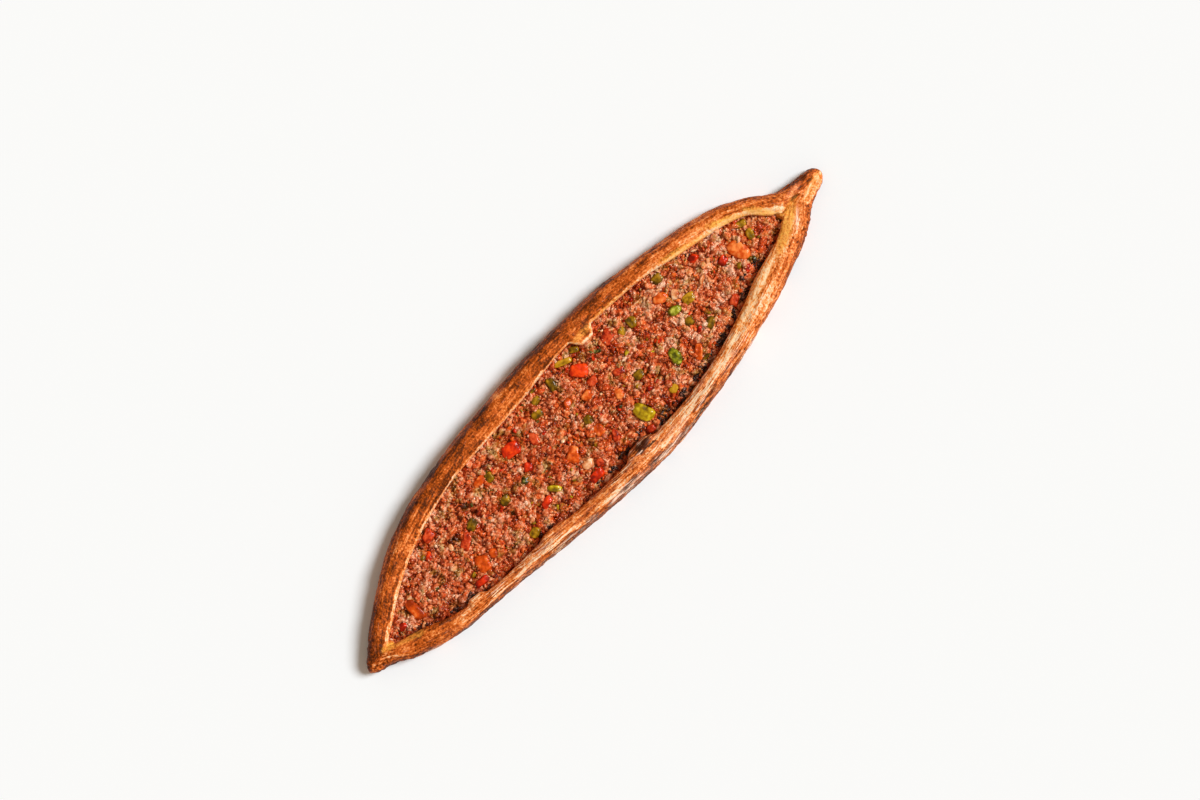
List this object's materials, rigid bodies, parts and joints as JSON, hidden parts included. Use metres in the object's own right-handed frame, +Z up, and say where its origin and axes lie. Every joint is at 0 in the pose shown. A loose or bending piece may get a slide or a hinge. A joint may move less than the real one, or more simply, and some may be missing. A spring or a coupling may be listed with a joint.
{
  "type": "turkish pide",
  "caption": "Long boat-shaped flat bread, its rims folded in over a filling of minced meat with diced tomato, pepper and onion, and pinched to a point at both ends.",
  "frame": {"origin": "under the middle of the boat's box, on the surface that the bread rests on", "axes": "+X along the boat towards its blunt tip, +Y towards the back rim with the bubble in its lip, +Z up"},
  "size_m": [0.57, 0.145, 0.0248],
  "materials": {
    "crust": "baked bread crust, golden to dark brown, dry to slightly oiled",
    "mince": "cooked minced meat with tomato, red-brown crumbs, oily",
    "tomato_red": "cooked red tomato dice, wet",
    "tomato_orange": "cooked pale tomato and orange pepper dice, wet",
    "pepper_green": "cooked green pepper skin, wet and bright",
    "pepper_olive": "cooked pepper dice stained by the mince's oil, olive",
    "onion": "cooked onion, translucent pink-orange"
  },
  "bodies": {
    "root": {"crust": "crust", "mince": "mince", "tomato_red_1": "tomato_red", "tomato_red_2": "tomato_red", "tomato_red_3": "tomato_red", "tomato_red_4": "tomato_red", "tomato_red_5": "tomato_red", "tomato_red_6": "tomato_red", "tomato_red_7": "tomato_red", "tomato_red_8": "tomato_red", "tomato_red_9": "tomato_red", "tomato_red_10": "tomato_red", "tomato_red_11": "tomato_red", "tomato_red_12": "tomato_red", "tomato_red_13": "tomato_red", "tomato_red_14": "tomato_red", "tomato_red_15": "tomato_red", "tomato_red_16": "tomato_red", "tomato_red_17": "tomato_red", "tomato_red_18": "tomato_red", "tomato_red_19": "tomato_red", "tomato_orange_1": "tomato_orange", "tomato_orange_2": "tomato_orange", "tomato_orange_3": "tomato_orange", "tomato_orange_4": "tomato_orange", "tomato_orange_5": "tomato_orange", "tomato_orange_6": "tomato_orange", "tomato_orange_7": "tomato_orange", "tomato_orange_8": "tomato_orange", "tomato_orange_9": "tomato_orange", "pepper_green_1": "pepper_green", "pepper_green_2": "pepper_green", "pepper_green_3": "pepper_green", "pepper_green_4": "pepper_green", "pepper_olive_1": "pepper_olive", "pepper_olive_2": "pepper_olive", "pepper_olive_3": "pepper_olive", "pepper_olive_4": "pepper_olive", "pepper_olive_5": "pepper_olive", "pepper_olive_6": "pepper_olive", "pepper_olive_7": "pepper_olive", "pepper_olive_8": "pepper_olive", "pepper_olive_9": "pepper_olive", "pepper_olive_10": "pepper_olive", "pepper_olive_11": "pepper_olive", "pepper_olive_12": "pepper_olive", "pepper_olive_13": "pepper_olive", "pepper_olive_14": "pepper_olive", "pepper_olive_15": "pepper_olive", "pepper_olive_16": "pepper_olive", "pepper_olive_17": "pepper_olive", "pepper_olive_18": "pepper_olive", "pepper_olive_19": "pepper_olive", "pepper_olive_20": "pepper_olive", "onion_1": "onion", "onion_2": "onion", "onion_3": "onion"}
  },
  "joints": []
}
